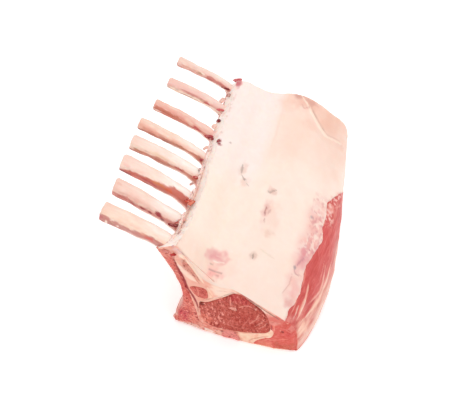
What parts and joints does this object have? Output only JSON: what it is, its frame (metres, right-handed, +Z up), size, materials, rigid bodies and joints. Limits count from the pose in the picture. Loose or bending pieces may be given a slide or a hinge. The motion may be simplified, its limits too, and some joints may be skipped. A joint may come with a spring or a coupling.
{
  "type": "raw rack of lamb",
  "caption": "Raw frenched rack of lamb standing on its chine side: arched rib bones, a loin eye and lesser muscles under a thick cap of pale fat.",
  "frame": {"origin": "middle of the foot of the whole rack's box, on the surface it stands on", "axes": "+X from the rib tips towards the back of the animal, +Y along the spine away from the shown cut face, +Z up"},
  "size_m": [0.1548, 0.1696, 0.0989],
  "materials": {
    "fat": "moist pale subcutaneous fat",
    "seam_fat": "moist cream seam fat",
    "loin_muscle": "moist cut muscle, fine grain",
    "surface_muscle": "moist muscle under thin membrane",
    "cap_muscle": "moist cut muscle",
    "rib_meat": "moist coarse rib meat",
    "bone": "scraped rib bone with a film of membrane"
  },
  "bodies": {
    "root": {"fat_cap": "fat", "seam_fat": "seam_fat", "loin_eye": "loin_muscle", "dorsal_muscle": "surface_muscle", "chine_muscle": "surface_muscle", "cap_muscle_upper": "cap_muscle", "cap_muscle_lower": "cap_muscle", "rib_meat": "rib_meat", "rib_1": "bone", "rib_2": "bone", "rib_3": "bone", "rib_4": "bone", "rib_5": "bone", "rib_6": "bone", "rib_7": "bone", "rib_8": "bone"}
  },
  "joints": []
}
